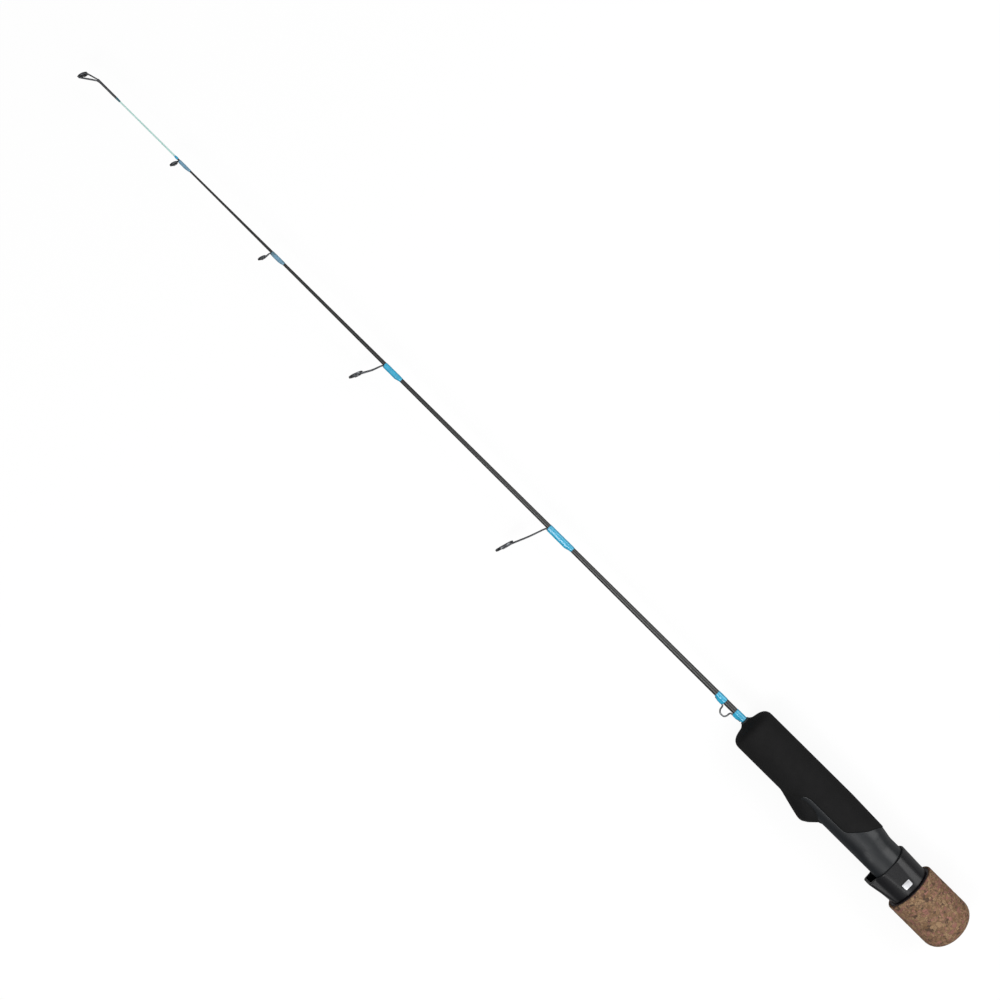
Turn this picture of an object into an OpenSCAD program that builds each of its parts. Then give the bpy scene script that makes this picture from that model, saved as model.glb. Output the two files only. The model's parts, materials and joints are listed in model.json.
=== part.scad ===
// Light ice fishing rod, lying along X with its guides and reel foot towards +Y.
// Origin: centre of the flat that the reel foot rests on. +X points to the tip, +Z is the rod's side.

/* [Blank] */
// Distance from the reel foot centre to the blank's butt end, inside the seat
blank_butt = 50; // [40:1:55]
// Distance from the reel foot centre to the joint with the tip section
splice_x = 558; // [550:1:560]
// Outer diameter of the blank at the front of the foregrip
blank_dia_grip = 3.9; // [3.6:0.1:4.2]
// Outer diameter of the blank at the third guide
blank_dia_mid = 2.4; // [2.2:0.1:2.6]
// Outer diameter of the blank at the joint with the tip section
blank_dia_splice = 1.1; // [1.0:0.05:1.2]

/* [Tip section] */
// Front end of the solid tip section, inside the tip-top tube
tip_end = 621; // [618:1:622]
// Diameter of the tip section at its joint
tip_dia = 1.0; // [0.9:0.05:1.0]
// Rear end of the tip-top tube
tube_start = 607.8; // [605:0.1:610]
// Front end of the tip-top tube
tube_end = 623; // [622.5:0.1:624]
// Place of the tip-top ring along the rod
top_ring_x = 631.3; // [630:0.1:633]

/* [Hook keeper] */
// Rear end of the keeper's loop
keeper_x0 = 103.2; // [103:0.1:104]
// Front end of the keeper's loop
keeper_x1 = 110.2; // [109.5:0.1:110.5]
// Height of the loop above the blank
keeper_h = 5.6; // [5:0.1:6]
// Diameter of the keeper's wire
keeper_wire = 1.0; // [0.8:0.1:1.1]

/* [Foregrip] */
// Front end of the foam foregrip
grip_front = 94.5; // [92:0.5:95]
// Outer diameter of the foregrip
grip_dia = 27.4; // [26.8:0.1:27.6]

/* [Reel seat] */
// Distance from the rod's axis to the flat under the reel foot
foot_h = 11; // [10.8:0.1:11.2]
// Distance from the reel foot centre to the foot of the fixed hood's mouth
mouth_x = 19; // [18.5:0.1:20]
// Distance from the reel foot centre to the front of the sliding hood when it is open
hood_rest = 21.2; // [20.5:0.1:21.5]
// Height of the pockets that the ends of the reel foot go into
pocket_h = 4.4; // [4.2:0.1:4.4]
// Width of the pocket in the sliding hood
pocket_w = 13.6; // [13:0.2:13.8]
// Width of the pocket in the fixed hood
front_pocket_w = 11.6; // [11.2:0.2:11.6]
// Distance from the rod's axis to the axis of the barrel and its hood, towards the reel
barrel_y = 1.4; // [1.2:0.1:1.4]
// Diameter over the threads of the barrel
thread_dia = 18.5; // [18:0.1:18.5]
// Distance between two threads
thread_pitch = 2; // [1.5:0.5:2.5]

/* [Sliding hood and butt knob] */
// How far the hood slides to clamp the reel foot
hood_travel = 9.5; // [8:0.5:9.5]
// Length of the sliding hood
hood_len = 18.9; // [18.6:0.1:19]
// Diameter of the cork butt knob
cork_dia = 32.8; // [32:0.1:33]
// Length of the cork butt knob
cork_len = 39.4; // [39:0.1:40]

/* [Hidden] */
$fn = 64;
blank_r_butt = 2.35;
blank_wall = 0.8;
spigot_r = 0.35;
spigot_len = 16;
tip_r_end = 0.42;
grip_r = grip_dia / 2;
grip_r_rear = grip_r - 0.8;
core_r = 10.6;
seat_front = 52;
seat_rear = -22.6;
bore_r = 6.5;
skin_gap = 0.2;
hump_top = 18.3;
hump_y = 6;
hump_edge = 5.8;
pocket_end = 37;
shoulder_x = -11.6;
sleeve_r = 12.55;
hood_clear = 0.15;
hood_front = -hood_rest;
flat_rear = hood_front + 0.2;
hood_rear = hood_front - hood_len;
hood_bore = sleeve_r + hood_clear;
hood_r_front = 14.1;
hood_r_rear = 13.4;
collar_len = 4.5;
neck_r = 10.85;
lip_r = 11.8;
lip_len = 1.0;
play = 0.15;
barrel_end = -58;
thread_r = thread_dia / 2;
thread_depth = 0.6;
flange_r = 14.8;
flange_len = 2;
cork_front = hood_rear - 0.5;
cork_rear = cork_front - cork_len;
cork_r = cork_dia / 2;
key_w = 2.4;
key_h = 0.9;
inlay_len = 3.9;
inlay_w = 5.5;
side_flat = 13.2;
cut = 60;

// Guides from tip to butt: ring x, ring y, ring outer diameter, hole diameter, lean in degrees,
// front of its wrap, rear of its wrap, wire radius
GUIDES = [
    [557.6, 3.7, 4.8, 2.8, 16, 556.4, 547.5, 0.32],
    [482.8, 6.4, 5.1, 3.0, 17, 480.8, 471.0, 0.34],
    [396.4, 16.2, 8.8, 6.2, 20, 388.6, 375.3, 0.42],
    [265.2, 26.2, 11.6, 8.6, 16, 254.6, 235.5, 0.48]
];
TOP = [top_ring_x, 4.1, 5.8, 3.6, 21, 0, 0, 0.36];

// Radius of the blank at a place along it: straight tapers between four stations
function blank_r(x) = lookup(x, [
    [-blank_butt, blank_r_butt],
    [grip_front, blank_dia_grip / 2],
    [GUIDES[2][5], blank_dia_mid / 2],
    [splice_x, blank_dia_splice / 2]
]);
// Radius of the tip section at a place along it
function tip_r(x) = lookup(x, [[splice_x, tip_dia / 2], [tip_end, tip_r_end]]);
// Points of an arc from angle a to angle b
function arc(cx, cy, r, a, b, n = 8) = [for (i = [0:n]) let (t = a + (b - a) * i / n) [cx + r * cos(t), cy + r * sin(t)]];

// Moves what is drawn round the rod's axis so that the reel foot's flat is at y = 0
module on_axis() {
    translate([0, -foot_h, 0]) children();
}

// Turns an outline of [radius, place along the rod] round a line along X at height y
module turned(y = 0) {
    translate([0, y, 0]) rotate([0, 90, 0]) rotate_extrude() children();
}

// A round bar along X, from x0 to x1
module bar(x0, x1, r0, r1, y = 0) {
    translate([x0, y, 0]) rotate([0, 90, 0]) cylinder(h = x1 - x0, r1 = r0, r2 = r1);
}

// A straight wire between two points
module wire(p, q, r) {
    d = q - p;
    len = norm(d);
    translate(p) rotate([0, acos(d[2] / len), atan2(d[1], d[0])]) cylinder(h = len, r = r);
}

module blank_solid() {
    turned() polygon([
        [0, -blank_butt],
        [blank_r(-blank_butt), -blank_butt],
        [blank_r(grip_front), grip_front],
        [blank_r(GUIDES[2][5]), GUIDES[2][5]],
        [blank_r(splice_x), splice_x],
        [0, splice_x]
    ]);
}

// Tapered hollow blank with a socket for the tip section
module blank() {
    hollow_end = GUIDES[2][5];
    color([0.2, 0.21, 0.24]) on_axis() difference() {
        blank_solid();
        turned() polygon([
            [0, -blank_butt - 1],
            [blank_r_butt - blank_wall, -blank_butt - 1],
            [blank_r_butt - blank_wall, -blank_butt],
            [blank_r(hollow_end) - blank_wall, hollow_end],
            [0, hollow_end]
        ]);
        bar(splice_x - spigot_len, splice_x + 1, spigot_r, spigot_r);
    }
}

module tip_solid() {
    bar(splice_x, tip_end, tip_r(splice_x), tip_r(tip_end));
}

// Solid bright tip section, its spigot glued into the blank
module tip_section() {
    color([0.75, 0.95, 0.9]) on_axis() {
        tip_solid();
        bar(splice_x - spigot_len, splice_x, spigot_r, spigot_r);
    }
}

// Places a ring's outline, drawn round X at the origin, at its guide's place and lean
module at_ring(g) {
    translate([g[0], g[1], 0]) rotate([0, 0, -g[4]]) children();
}

// Width of a guide's metal collar along the line
function collar_w(g) = 0.6 + g[2] * 0.06;
function insert_r(g) = g[2] / 2 - 0.35;

// Hard ring insert with a plain land in its bore and eased edges
module ring_insert(g) {
    half = collar_w(g) / 2 + 0.2;
    ease = 0.25;
    at_ring(g) turned() polygon([
        [g[3] / 2, -half + ease],
        [g[3] / 2 + ease, -half],
        [insert_r(g), -half],
        [insert_r(g), half],
        [g[3] / 2 + ease, half],
        [g[3] / 2, half - ease]
    ]);
}

// Metal collar round the ring insert
module ring_collar(g) {
    half = collar_w(g) / 2;
    at_ring(g) difference() {
        bar(-half, half, g[2] / 2, g[2] / 2);
        bar(-half - 1, half + 1, insert_r(g), insert_r(g));
    }
}

// A point on a ring's collar, at an angle from the side nearest the blank
function on_collar(g, a, side) = let (r = g[2] / 2 - 0.1, v = -r * cos(a))
    [g[0] + v * sin(g[4]), g[1] + v * cos(g[4]), side * r * sin(a)];

// Height and half width of a guide's foot on the blank
function foot_t(g) = g[7] * 1.5;
function foot_hw(g) = g[7] * 1.6;

module guide_foot(g) {
    root = blank_r(g[5]);
    tail = g[6] + (g[5] - g[6]) * 0.15;
    translate([tail, root - foot_t(g) / 2, -foot_hw(g)])
        cube([g[5] + foot_t(g) - tail, foot_t(g) * 1.5, 2 * foot_hw(g)]);
}

// Single-foot guide frame: collar, two legs and a flat foot
module guide_frame(g) {
    spread = 50;
    top_y = blank_r(g[5]) + foot_t(g) / 2;
    color([0.3, 0.31, 0.33]) on_axis() difference() {
        union() {
            ring_collar(g);
            for (side = [-1, 1])
                wire([g[5] + foot_t(g) * 0.6, top_y, side * foot_hw(g) * 0.45], on_collar(g, spread, side), g[7]);
            guide_foot(g);
        }
        blank_solid();
        tip_solid();
        at_ring(g) bar(-g[2], g[2], insert_r(g), insert_r(g));
    }
}

module guide_ring(g) {
    color([0.12, 0.12, 0.14]) on_axis() ring_insert(g);
}

// Thread wrap and its varnish, over the foot and the blank
module guide_wrap(g) {
    over = foot_t(g) * 0.9;
    slope = 1.4;
    color([0.24, 0.72, 0.87]) on_axis() difference() {
        turned(over * 0.35) polygon([
            [0, g[6]],
            [blank_r(g[6]) + 0.12, g[6]],
            [blank_r(g[6]) + over, g[6] + slope],
            [blank_r(g[5]) + over, g[5] - slope / 2],
            [blank_r(g[5]) + over * 0.7, g[5]],
            [0, g[5]]
        ]);
        blank_solid();
        tip_solid();
        guide_foot(g);
    }
}

// Tip-top: tube, collar, two lower wires and two braces
module tip_top_frame() {
    start = [tube_end - 1, 0.1, 0];
    color([0.16, 0.16, 0.18]) on_axis() difference() {
        union() {
            bar(tube_start, tube_end, 0.72, 0.72);
            ring_collar(TOP);
            for (side = [-1, 1]) {
                wire(start + [0, -0.05, side * 0.22], on_collar(TOP, 32, side), TOP[7]);
                wire(start + [0.1, 0.1, side * 0.2], on_collar(TOP, 150, side), TOP[7] * 0.85);
            }
        }
        bar(tube_start - 1, tip_end, tip_r(tube_start), tip_r(tip_end));
        at_ring(TOP) bar(-TOP[2], TOP[2], insert_r(TOP), insert_r(TOP));
    }
}

module tip_top_ring() {
    color([0.12, 0.12, 0.14]) on_axis() ring_insert(TOP);
}

// Short dark wrap that closes the rear of the tip-top tube
module tip_top_wrap() {
    color([0.1, 0.3, 0.38]) on_axis() difference() {
        bar(tube_start - 3, tube_start, tip_r(tube_start) + 0.1, 0.66);
        bar(tube_start - 4, tube_start + 1, tip_r(tube_start - 4), tip_r(tube_start + 1));
    }
}

// Short wrap over the joint of the blank and the tip section
module splice_wrap() {
    color([0.24, 0.72, 0.87]) on_axis() difference() {
        bar(splice_x + 0.2, splice_x + 2.2, 0.8, tip_r(splice_x) + 0.15);
        bar(splice_x, splice_x + 3, tip_r(splice_x), tip_r(splice_x + 3));
    }
}

// Tube of a given radius swept along points that lie in the XY plane, as one closed skin
module swept(points, r, sides = 12) {
    n = len(points);
    ring = [for (i = [0:n - 1]) let (
        d = points[min(i + 1, n - 1)] - points[max(i - 1, 0)],
        normal = [-d[1], d[0]] / norm(d)
    ) for (k = [0:sides - 1]) let (t = 360 * k / sides)
        [points[i][0] + normal[0] * r * cos(t), points[i][1] + normal[1] * r * cos(t), r * sin(t)]];
    walls = [for (i = [0:n - 2], k = [0:sides - 1]) let (a = i * sides, m = (k + 1) % sides)
        each [[a + k, a + m, a + sides + m], [a + k, a + sides + m, a + sides + k]]];
    polyhedron(ring, concat(walls, [
        [for (k = [sides - 1:-1:0]) k],
        [for (k = [0:sides - 1]) (n - 1) * sides + k]
    ]));
}

function keeper_base() = blank_r(keeper_x0) + keeper_wire / 2;

// Wire of the hook keeper: two feet along the blank and a loop whose top leans forward
module hook_keeper() {
    bow = 2.6;
    bend = 0.9;
    top = blank_r(keeper_x0) + keeper_h - keeper_wire / 2 - bow;
    apex = keeper_x1 - bow - 0.4;
    base = keeper_base();
    color([0.62, 0.63, 0.65]) on_axis() difference() {
        swept(concat(
            [[keeper_x1 + 6.5, base]],
            arc(keeper_x1 + 0.3, base + bend, bend, -90, -175, 4),
            arc(apex, top, bow, 0, 190, 11),
            arc(keeper_x0 - 0.1, base + bend, bend, -25, -90, 4),
            [[keeper_x0 - 6.8, base]]
        ), keeper_wire / 2);
        blank_solid();
    }
}

// Wrap over one foot of the hook keeper
module keeper_wrap(x0, x1) {
    over = keeper_wire * 0.55;
    slope = 0.9;
    color([0.24, 0.72, 0.87]) on_axis() difference() {
        turned(over * 0.7) polygon([
            [0, x0],
            [blank_r(x0) + over * 0.8, x0],
            [blank_r(x0) + over, x0 + slope],
            [blank_r(x1) + over, x1 - slope],
            [blank_r(x1) + over * 0.8, x1],
            [0, x1]
        ]);
        blank_solid();
        bar(x0 - 1, x1 + 1, keeper_wire / 2, keeper_wire / 2, keeper_base());
    }
}

module keeper_front_wrap() {
    keeper_wrap(keeper_x1 + 0.6, keeper_x1 + 7.5);
}

module keeper_rear_wrap() {
    keeper_wrap(keeper_x0 - 7.8, keeper_x0 - 0.5);
}

// Ring that closes the front of the foregrip round the blank
module winding_check() {
    color([0.1, 0.12, 0.13]) on_axis() difference() {
        bar(grip_front, grip_front + 0.9, 3.1, 2.6);
        blank_solid();
    }
}

// Side outline of the foam: full round in front, then a tongue along the back of the seat
module foam_side() {
    edge = 5.6;
    corner = 4;
    reach = 30;
    polygon(concat(
        [[100, -reach], [100, reach], [seat_front, reach], [seat_front, 14]],
        arc(38.5, edge + corner, corner, -60, -90, 4),
        arc(13.2, edge - corner, corner, 90, 140, 5),
        [[2.2, -4.5], [0, -9], [-5, -13], [-5, -reach]]
    ));
}

// Outside of the foam before the tongue is cut
module foam_outside() {
    round_r = 4.6;
    corner_x = grip_front - 2.7 - round_r;
    turned() polygon(concat(
        [[0, -5.5], [grip_r_rear, -5.5], [grip_r, 20]],
        arc(grip_r - round_r, corner_x, round_r, 0, 84, 10),
        [[3.2, grip_front], [0, grip_front]]
    ));
}

// Foam foregrip, bored for the blank and hollowed for the seat
module foregrip() {
    color([0.13, 0.13, 0.13]) on_axis() difference() {
        intersection() {
            foam_outside();
            linear_extrude(height = cut, center = true) foam_side();
        }
        bar(seat_rear, seat_front, core_r, core_r);
        blank_solid();
    }
}

// Outside of the seat where the foam leaves it bare
module seat_skin() {
    turned() polygon([
        [0, seat_front],
        [grip_r - skin_gap, seat_front],
        [grip_r - skin_gap, 20],
        [grip_r_rear - skin_gap, -4.5],
        [grip_r_rear - 0.5, shoulder_x + 3],
        [grip_r_rear - 0.9, shoulder_x + 0.4],
        [core_r, shoulder_x],
        [0, shoulder_x]
    ]);
}

// Hump of the fixed hood, round in section, with its raked mouth
module fixed_hood() {
    intersection() {
        turned(hump_y) polygon([
            [0, seat_front],
            [grip_r - hump_y, seat_front],
            [hump_top - 1.1 - hump_y, 38.6],
            [hump_top - hump_y, 33.8],
            [hump_top - hump_y, 31.4],
            [hump_top - 2.4 - hump_y, 27.6],
            [foot_h + 1.5 - hump_y, mouth_x + 3.2],
            [foot_h + 0.4 - hump_y, mouth_x],
            [0, mouth_x]
        ]);
        translate([0, hump_edge, -cut / 2]) cube([seat_front, cut, cut]);
    }
}

// Barrel with rounded thread ridges
module barrel() {
    count = floor((seat_rear - barrel_end - 4) / thread_pitch);
    start = barrel_end + 1;
    turned(barrel_y) polygon(concat(
        [[0, barrel_end], [thread_r - thread_depth, barrel_end]],
        [for (i = [0:count - 1], k = [0:3]) [
            thread_r - (k == 1 || k == 2 ? 0 : thread_depth),
            start + thread_pitch * (i + 0.1 + k * 0.22)
        ]],
        [[thread_r - thread_depth, seat_rear], [0, seat_rear]]
    ));
}

// Moulded seat: core, bare skin, fixed hood, sleeve for the sliding hood and threaded barrel
module reel_seat() {
    sleeve_front = -6.5;
    slot_end = -10.5;
    color([0.1, 0.11, 0.12]) on_axis() difference() {
        union() {
            difference() {
                union() {
                    bar(seat_rear + 10, seat_front, core_r, core_r);
                    bar(seat_rear, sleeve_front, sleeve_r - 0.25, sleeve_r, barrel_y);
                    difference() {
                        seat_skin();
                        linear_extrude(height = cut, center = true) foam_side();
                    }
                }
                translate([seat_rear - 1, foot_h, -cut / 2]) cube([seat_front - seat_rear, cut, cut]);
            }
            difference() {
                fixed_hood();
                linear_extrude(height = cut, center = true) foam_side();
            }
            barrel();
        }
        translate([mouth_x - 1, foot_h, -front_pocket_w / 2])
            cube([pocket_end - mouth_x + 1, pocket_h, front_pocket_w]);
        translate([barrel_end - 1, foot_h - 0.3, -cut / 2]) cube([flat_rear - barrel_end + 1, cut, cut]);
        bar(barrel_end - 1, seat_front + 1, bore_r, bore_r);
        translate([seat_rear - 1, barrel_y - sleeve_r - 1, -key_w / 2 - play])
            cube([slot_end - seat_rear + 1, 1 + key_h + 0.3, key_w + 2 * play]);
    }
}

// Ring that centres the blank in the seat
module arbor(x0, x1) {
    color([0.75, 0.65, 0.5]) on_axis() difference() {
        bar(x0, x1, bore_r, bore_r);
        blank_solid();
    }
}

module front_arbor() {
    arbor(seat_front - 18, seat_front - 2);
}

module rear_arbor() {
    arbor(-46, -30);
}

// Rounded box over the pocket of the sliding hood, across the rod
module pocket_shell() {
    half_w = pocket_w / 2 + 2;
    top = 17.2;
    corner = 3;
    square([top - corner, 2 * half_w], center = false);
    translate([0, corner]) square([top, 2 * (half_w - corner)]);
    for (y = [corner, 2 * half_w - corner]) translate([top - corner, y]) circle(r = corner);
}

// Sliding hood: ring over the sleeve, with a pocket for the rear of the reel foot
module sliding_hood() {
    fall = 10.3;
    half_w = pocket_w / 2 + 2;
    key_x = hood_rear + collar_len + lip_len + 1;
    color([0.09, 0.09, 0.1]) on_axis() difference() {
        union() {
            bar(hood_rear, hood_front, hood_r_rear, hood_r_front, barrel_y);
            difference() {
                translate([hood_rear, 0, 0]) rotate([0, 90, 0]) rotate([0, 0, 90])
                    translate([0, -half_w]) linear_extrude(height = hood_len) pocket_shell();
                translate([hood_front - 0.6, 16.95, -cut / 2]) rotate([0, 0, fall])
                    translate([-cut, 0, 0]) cube([cut + 5, cut, cut]);
            }
        }
        difference() {
            bar(hood_rear + collar_len, hood_front + 1, hood_bore, hood_bore, barrel_y);
            translate([key_x, barrel_y - hood_bore - 1, -key_w / 2])
                cube([hood_front - 0.2 - key_x, 1 + key_h, key_w]);
        }
        bar(hood_rear - 1, hood_rear + collar_len + 1, neck_r + play, neck_r + play, barrel_y);
        translate([hood_front - 5, 0, -pocket_w / 2]) cube([6, foot_h + pocket_h - 0.1, pocket_w]);
        translate([hood_front - 5, 0, -pocket_w / 2]) intersection() {
            translate([-5, 0, 0]) cube([6, foot_h + pocket_h, pocket_w]);
            translate([0, foot_h + pocket_h - 0.1, -1]) rotate([0, 0, fall])
                translate([-cut, -cut, 0]) cube([2 * cut, cut, cut]);
        }
        for (side = [-1, 1])
            translate([hood_rear + 3.1, barrel_y - cut / 4, side == 1 ? side_flat : -side_flat - cut])
                cube([hood_len, cut / 2, cut]);
    }
}

// Plain bright plates at the rear of the hood's side flats
module hood_inlays() {
    thick = 0.35;
    color([0.85, 0.86, 0.88]) on_axis()
        for (side = [-1, 1])
            translate([hood_rear + 3.3, barrel_y - inlay_w / 2, side == 1 ? side_flat : -side_flat - thick])
                cube([inlay_len, inlay_w, thick]);
}

// Lock nut: neck and lip in the hood, flange, and a threaded sleeve inside the cork
module lock_nut() {
    lip_front = hood_rear + collar_len + play + lip_len;
    sleeve_out = 12.4;
    color([0.12, 0.1, 0.12]) on_axis() difference() {
        turned(barrel_y) polygon([
            [0, barrel_end],
            [sleeve_out, barrel_end],
            [sleeve_out, hood_rear - 0.35 - flange_len],
            [flange_r, hood_rear - 0.35 - flange_len],
            [flange_r, hood_rear - 0.35],
            [neck_r, hood_rear - 0.35],
            [neck_r, lip_front - lip_len],
            [lip_r, lip_front - lip_len],
            [neck_r + 0.2, lip_front],
            [0, lip_front]
        ]);
        bar(barrel_end - 1, lip_front + 1, thread_r + play, thread_r + play, barrel_y);
    }
}

// Radius of the cork's rounded end at a share of its length, from its start to the butt
function cap_r(u) = cork_r * pow(1 - pow(u, 2.2), 1 / 2.2);

// Cork knob bonded over the lock nut, blind at the butt
module cork_knob() {
    cap_len = 11.1;
    ease = 0.8;
    hollow_end = barrel_end - hood_travel - 2;
    shares = [0, 0.12, 0.24, 0.36, 0.47, 0.58, 0.68, 0.77, 0.85, 0.91, 0.955, 0.985];
    color([0.55, 0.42, 0.31]) on_axis() difference() {
        turned(barrel_y) polygon(concat(
            [[0, cork_front], [cork_r - ease, cork_front], [cork_r - ease * 0.3, cork_front - ease * 0.3],
                [cork_r, cork_front - ease]],
            [for (u = shares) [cap_r(u), cork_rear + cap_len * (1 - u)]],
            [[0, cork_rear]]
        ));
        bar(hood_rear - 0.35 - flange_len, cork_front + 1, flange_r, flange_r, barrel_y);
        bar(barrel_end, cork_front, 12.4, 12.4, barrel_y);
        bar(hollow_end, barrel_end + 1, thread_r + 0.6, thread_r + 0.6, barrel_y);
    }
}

module guide_1_frame() { guide_frame(GUIDES[0]); }
module guide_1_ring() { guide_ring(GUIDES[0]); }
module guide_1_wrap() { guide_wrap(GUIDES[0]); }
module guide_2_frame() { guide_frame(GUIDES[1]); }
module guide_2_ring() { guide_ring(GUIDES[1]); }
module guide_2_wrap() { guide_wrap(GUIDES[1]); }
module guide_3_frame() { guide_frame(GUIDES[2]); }
module guide_3_ring() { guide_ring(GUIDES[2]); }
module guide_3_wrap() { guide_wrap(GUIDES[2]); }
module guide_4_frame() { guide_frame(GUIDES[3]); }
module guide_4_ring() { guide_ring(GUIDES[3]); }
module guide_4_wrap() { guide_wrap(GUIDES[3]); }

blank();
tip_section();
tip_top_frame();
tip_top_ring();
tip_top_wrap();
guide_1_frame();
guide_1_ring();
guide_1_wrap();
guide_2_frame();
guide_2_ring();
guide_2_wrap();
guide_3_frame();
guide_3_ring();
guide_3_wrap();
guide_4_frame();
guide_4_ring();
guide_4_wrap();
splice_wrap();
hook_keeper();
keeper_front_wrap();
keeper_rear_wrap();
winding_check();
foregrip();
reel_seat();
front_arbor();
rear_arbor();
sliding_hood();
hood_inlays();
lock_nut();
cork_knob();
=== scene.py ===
import json

import bmesh
import bpy
import numpy as np
from mathutils import Matrix, Vector


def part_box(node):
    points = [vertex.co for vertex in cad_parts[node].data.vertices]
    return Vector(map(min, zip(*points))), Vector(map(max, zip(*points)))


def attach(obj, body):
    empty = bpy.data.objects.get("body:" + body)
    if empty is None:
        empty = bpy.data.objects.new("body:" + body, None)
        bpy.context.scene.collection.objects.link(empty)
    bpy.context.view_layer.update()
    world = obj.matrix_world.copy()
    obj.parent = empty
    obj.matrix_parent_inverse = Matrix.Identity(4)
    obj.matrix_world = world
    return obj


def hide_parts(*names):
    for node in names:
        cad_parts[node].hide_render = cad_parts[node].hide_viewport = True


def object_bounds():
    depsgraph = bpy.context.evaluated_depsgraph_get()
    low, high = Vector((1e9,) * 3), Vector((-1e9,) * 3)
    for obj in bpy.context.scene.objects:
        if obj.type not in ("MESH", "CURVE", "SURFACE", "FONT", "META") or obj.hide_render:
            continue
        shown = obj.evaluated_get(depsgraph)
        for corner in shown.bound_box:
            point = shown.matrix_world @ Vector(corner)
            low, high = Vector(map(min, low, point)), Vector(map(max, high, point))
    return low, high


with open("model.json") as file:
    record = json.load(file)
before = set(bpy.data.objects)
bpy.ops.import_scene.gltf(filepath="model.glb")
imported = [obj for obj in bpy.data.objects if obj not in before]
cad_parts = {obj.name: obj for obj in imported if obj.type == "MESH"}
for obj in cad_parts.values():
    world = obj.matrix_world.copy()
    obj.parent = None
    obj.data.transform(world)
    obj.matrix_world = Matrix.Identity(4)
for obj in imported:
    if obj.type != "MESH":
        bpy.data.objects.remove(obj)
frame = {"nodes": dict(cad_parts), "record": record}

# The rod lies along X. Shapes are worked out in millimetres round the rod's own axis, then put in the frame.
cad_low, cad_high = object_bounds()
MM = 0.001
TAU = 2 * np.pi
# Corners closer together than this become one, in metres.
WELD = 2e-6
blank_low, blank_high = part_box("blank")
AXIS_Y = (blank_low.y + blank_high.y) / 2
AXIS_Z = (blank_low.z + blank_high.z) / 2
MOUNTS = {mount["name"]: mount for mount in frame["record"]["mounts"]}


def span(node):
    """Rear and front end of a CAD node along the rod, in millimetres."""
    low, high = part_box(node)
    return low.x / MM, high.x / MM


# ---------------------------------------------------------------- surfaces

def quads(rows, cols, close_rows, close_cols):
    """Four corner numbers for each cell of a grid. Where it is closed, its last row or column joins the
    first."""
    i = np.arange(rows if close_rows else rows - 1)
    j = np.arange(cols if close_cols else cols - 1)
    a, b = (k.ravel() for k in np.meshgrid(i, j, indexing="ij"))
    a_next = (a + 1) % rows
    b_next = (b + 1) % cols
    return np.stack([a * cols + b, a_next * cols + b, a_next * cols + b_next, a * cols + b_next], axis=1)


def skin(points, close_rows=False, close_cols=True, ends=False):
    """A grid of points, rows by columns, as one skin. With ends, its first and last rows are filled."""
    rows, cols = points.shape[:2]
    caps = [np.arange(cols), np.arange((rows - 1) * cols, rows * cols)] if ends else []
    return points.reshape(-1, 3), quads(rows, cols, close_rows, close_cols), caps


def piece(name, skins, body, finish, nodes, crease=38):
    """Joins skins into one mesh in the frame, welds seams and poles, and turns the faces outwards."""
    points = np.concatenate([s[0] for s in skins])
    starts = np.cumsum([0] + [len(s[0]) for s in skins[:-1]])
    faces = np.concatenate([s[1] + start for s, start in zip(skins, starts)]).tolist()
    faces += [(cap + start).tolist() for s, start in zip(skins, starts) for cap in s[2]]
    mesh = bpy.data.meshes.new(name)
    mesh.from_pydata((points * MM + np.array([0, AXIS_Y, AXIS_Z])).tolist(), [], faces)
    work = bmesh.new()
    work.from_mesh(mesh)
    bmesh.ops.remove_doubles(work, verts=work.verts, dist=WELD)
    bmesh.ops.recalc_face_normals(work, faces=work.faces)
    work.to_mesh(mesh)
    work.free()
    mesh.shade_smooth()
    mesh.set_sharp_from_angle(angle=np.radians(crease))
    mesh.materials.append(finish)
    made = bpy.data.objects.new(name, mesh)
    bpy.context.scene.collection.objects.link(made)
    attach(made, body)
    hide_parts(*nodes)


def eased(corners, steps=7):
    """Closed outline through rows (a, b, ease). Each corner is a quadratic curve that starts and ends its
    ease away from it, with a point beyond each end to keep the flats flat: steps + 2 points a corner."""
    table = np.array(corners, float)
    at = table[:, :2]
    to_last = np.roll(at, 1, 0) - at
    to_next = np.roll(at, -1, 0) - at
    len_last = np.maximum(np.linalg.norm(to_last, axis=1), 1e-9)
    len_next = np.maximum(np.linalg.norm(to_next, axis=1), 1e-9)
    ease = np.minimum(table[:, 2], 0.45 * np.minimum(len_last, len_next))[:, None]
    start = at + to_last / len_last[:, None] * ease
    end = at + to_next / len_next[:, None] * ease
    t = np.linspace(0, 1, steps)[None, :, None]
    curve = (1 - t) ** 2 * start[:, None] + 2 * t * (1 - t) * at[:, None] + t ** 2 * end[:, None]
    lead = at + to_last / len_last[:, None] * ease * 1.1
    tail = at + to_next / len_next[:, None] * ease * 1.1
    return np.concatenate([lead[:, None], curve, tail[:, None]], axis=1).reshape(-1, 2)


def through(points, steps=8):
    """Smooth path through points: one Catmull-Rom cubic for each gap."""
    p = np.array(points, float)
    p = np.concatenate([2 * p[:1] - p[1:2], p, 2 * p[-1:] - p[-2:-1]])
    a, b, c, d = (q[:, None] for q in (p[:-3], p[1:-2], p[2:-1], p[3:]))
    t = np.linspace(0, 1, steps, endpoint=False)[None, :, None]
    square = (2 * a - 5 * b + 4 * c - d) * t ** 2
    cube = (3 * b - a - 3 * c + d) * t ** 3
    cubic = 0.5 * (2 * b + (c - a) * t + square + cube)
    return np.concatenate([cubic.reshape(-1, p.shape[1]), p[-2:-1]])


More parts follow.
